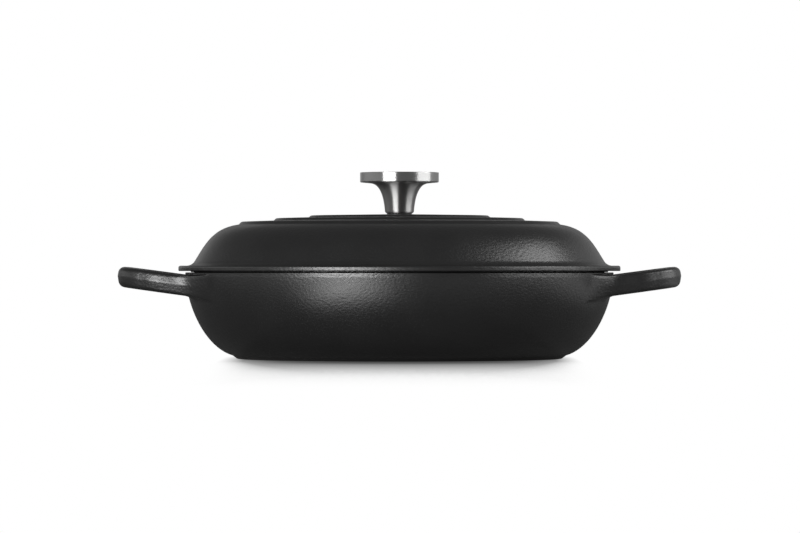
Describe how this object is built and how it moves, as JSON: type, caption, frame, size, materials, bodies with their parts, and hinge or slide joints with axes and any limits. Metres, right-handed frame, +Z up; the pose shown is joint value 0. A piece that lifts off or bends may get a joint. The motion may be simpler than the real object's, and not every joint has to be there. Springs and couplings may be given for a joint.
{
  "type": "shallow cast iron casserole",
  "caption": "Shallow round cast iron pot in satin black enamel with loop handles at opposite sides, under a stepped domed lid that lifts off by a flared steel knob.",
  "frame": {"origin": "centre of the pot's flat underside, on the surface it stands on", "axes": "+X through the two loop handles, +Z up along the pot's and the knob's axis"},
  "size_m": [0.4008, 0.314, 0.1329],
  "materials": {
    "black_enamel": "satin black enamel with a fine orange-peel texture",
    "seat_gasket": "matte",
    "polished_steel": "polished",
    "brushed_steel": "brushed round its edge",
    "fastener_steel": "plain turned steel"
  },
  "bodies": {
    "pot": {"pot": "black_enamel"},
    "lid": {"lid": "black_enamel", "knob_gasket": "seat_gasket", "knob_stem": "polished_steel", "knob_cap": "brushed_steel", "knob_insert": "fastener_steel", "flat_washer": "fastener_steel", "spring_washer": "fastener_steel", "knob_screw": "fastener_steel"}
  },
  "joints": [
    {"name": "lid_lift", "type": "slide", "parent": "pot", "child": "lid", "axis": [0, 0, 1], "range_m": [0, 0.15]}
  ]
}
